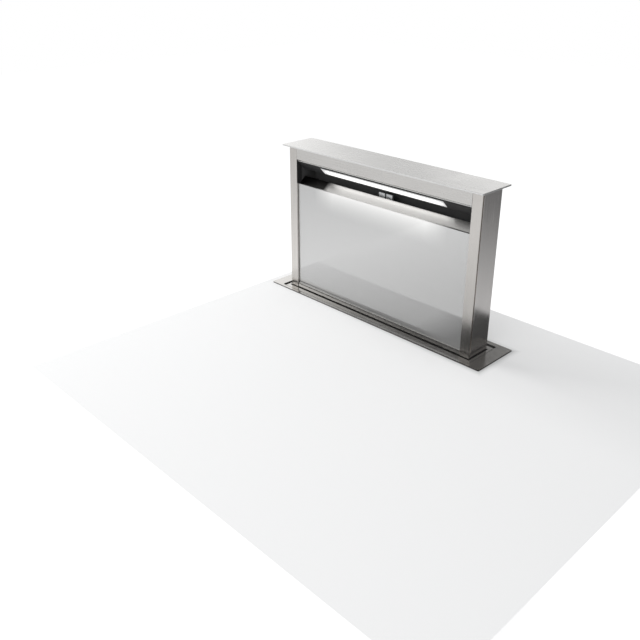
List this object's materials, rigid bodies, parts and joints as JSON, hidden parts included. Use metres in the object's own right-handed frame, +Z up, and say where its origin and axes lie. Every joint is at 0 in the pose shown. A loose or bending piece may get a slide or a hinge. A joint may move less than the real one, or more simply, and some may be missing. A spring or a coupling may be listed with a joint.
{
  "type": "downdraft vent",
  "caption": "Downdraft vent whose glass-fronted steel tower rises from a slotted worktop trim, with a lit suction mouth, rack lift, housing and rear blower",
  "frame": {"origin": "centre of the bounding box's base, on the floor under the feet", "axes": "+Z up, +X to the right seen from the front, +Y to the back; the suction mouth faces -Y"},
  "size_m": [0.564, 0.301, 1.061],
  "materials": {
    "brushed_steel": "fine horizontal brushing",
    "polished_steel": "fine satin polish that mirrors softly",
    "zinc_sheet": "galvanised sheet",
    "aluminium": "mill finish",
    "gear_steel": "machined",
    "grey_glass": "toughened glass with grey backing",
    "light_diffuser": "opal, lit",
    "black_paint": "satin black",
    "black_rubber": "matte",
    "black_plastic": "moulded",
    "white_plastic": "moulded, natural"
  },
  "bodies": {
    "housing": {"worktop_trim": "polished_steel", "housing_front": "zinc_sheet", "housing_rear": "zinc_sheet", "housing_shell": "zinc_sheet", "worktop_clamp_left": "zinc_sheet", "worktop_clamp_right": "zinc_sheet", "electric_box": "zinc_sheet", "electric_box_lid": "zinc_sheet", "blower_box": "zinc_sheet", "scroll_wrap": "zinc_sheet", "guide_rail_left": "aluminium", "guide_rail_right": "aluminium", "clamp_screw_left": "gear_steel", "clamp_screw_right": "gear_steel", "lift_motor": "gear_steel", "fan_motor": "gear_steel", "cap_seat_seal": "black_rubber", "slot_wiper": "black_rubber", "foot_front_left": "black_plastic", "foot_front_right": "black_plastic", "foot_rear_left": "black_plastic", "foot_rear_right": "black_plastic", "lift_gearbox": "black_plastic", "cable_gland": "black_plastic", "inlet_ring": "black_plastic", "outlet_collar": "black_plastic", "shaft_bearing_left": "white_plastic", "shaft_bearing_right": "white_plastic"},
    "tower": {"cap_plate": "brushed_steel", "top_beam": "brushed_steel", "light_channel": "black_paint", "light_trim": "polished_steel", "light_diffuser": "light_diffuser", "mouth_deflector": "polished_steel", "mouth_liner": "black_paint", "glass_panel": "grey_glass", "glass_carrier": "zinc_sheet", "drip_tray": "brushed_steel", "leg_crossbar": "zinc_sheet", "tower_back_panel": "brushed_steel", "tower_upright_left": "polished_steel", "tower_upright_right": "polished_steel", "tower_side_cover_left": "polished_steel", "tower_side_cover_right": "polished_steel", "grease_filter_left": "aluminium", "grease_filter_right": "aluminium", "lift_leg_left": "zinc_sheet", "lift_leg_right": "zinc_sheet", "lift_rack_left": "white_plastic", "lift_rack_right": "white_plastic", "glide_shoe_upper_left": "white_plastic", "glide_shoe_upper_right": "white_plastic", "glide_shoe_lower_left": "white_plastic", "glide_shoe_lower_right": "white_plastic"},
    "drive_shaft_set": {"drive_shaft": "gear_steel", "drive_pinion_left": "gear_steel", "drive_pinion_right": "gear_steel"},
    "fan": {"fan_wheel": "black_plastic"},
    "flap_rear": {"backdraught_flap_rear": "black_plastic"},
    "flap_front": {"backdraught_flap_front": "black_plastic"}
  },
  "joints": [
    {"name": "tower_lift", "type": "slide", "parent": "housing", "child": "tower", "axis": [0, 0, 1], "range_m": [-0.32, 0]},
    {"name": "shaft_turn", "type": "hinge", "parent": "housing", "child": "drive_shaft_set", "pos_m": [0, -0.08515, 0.37], "axis": [1, 0, 0], "range_deg": [-1148, 0]},
    {"name": "fan_spin", "type": "hinge", "parent": "housing", "child": "fan", "pos_m": [0, 0.03515, 0.174], "axis": [0, 1, 0], "continuous": true},
    {"name": "flap_rear_swing", "type": "hinge", "parent": "housing", "child": "flap_rear", "pos_m": [0.1763, 0.06745, 0.234], "axis": [0, 0, -1], "range_deg": [0, 75], "stiffness_Nm_per_rad": 0.02},
    {"name": "flap_front_swing", "type": "hinge", "parent": "housing", "child": "flap_front", "pos_m": [0.1763, 0.06145, 0.234], "axis": [0, 0, 1], "range_deg": [0, 75], "stiffness_Nm_per_rad": 0.02}
  ],
  "couplings": [
    {"joint": "shaft_turn", "follows": "tower_lift", "rad_per_m": 62.5}
  ]
}
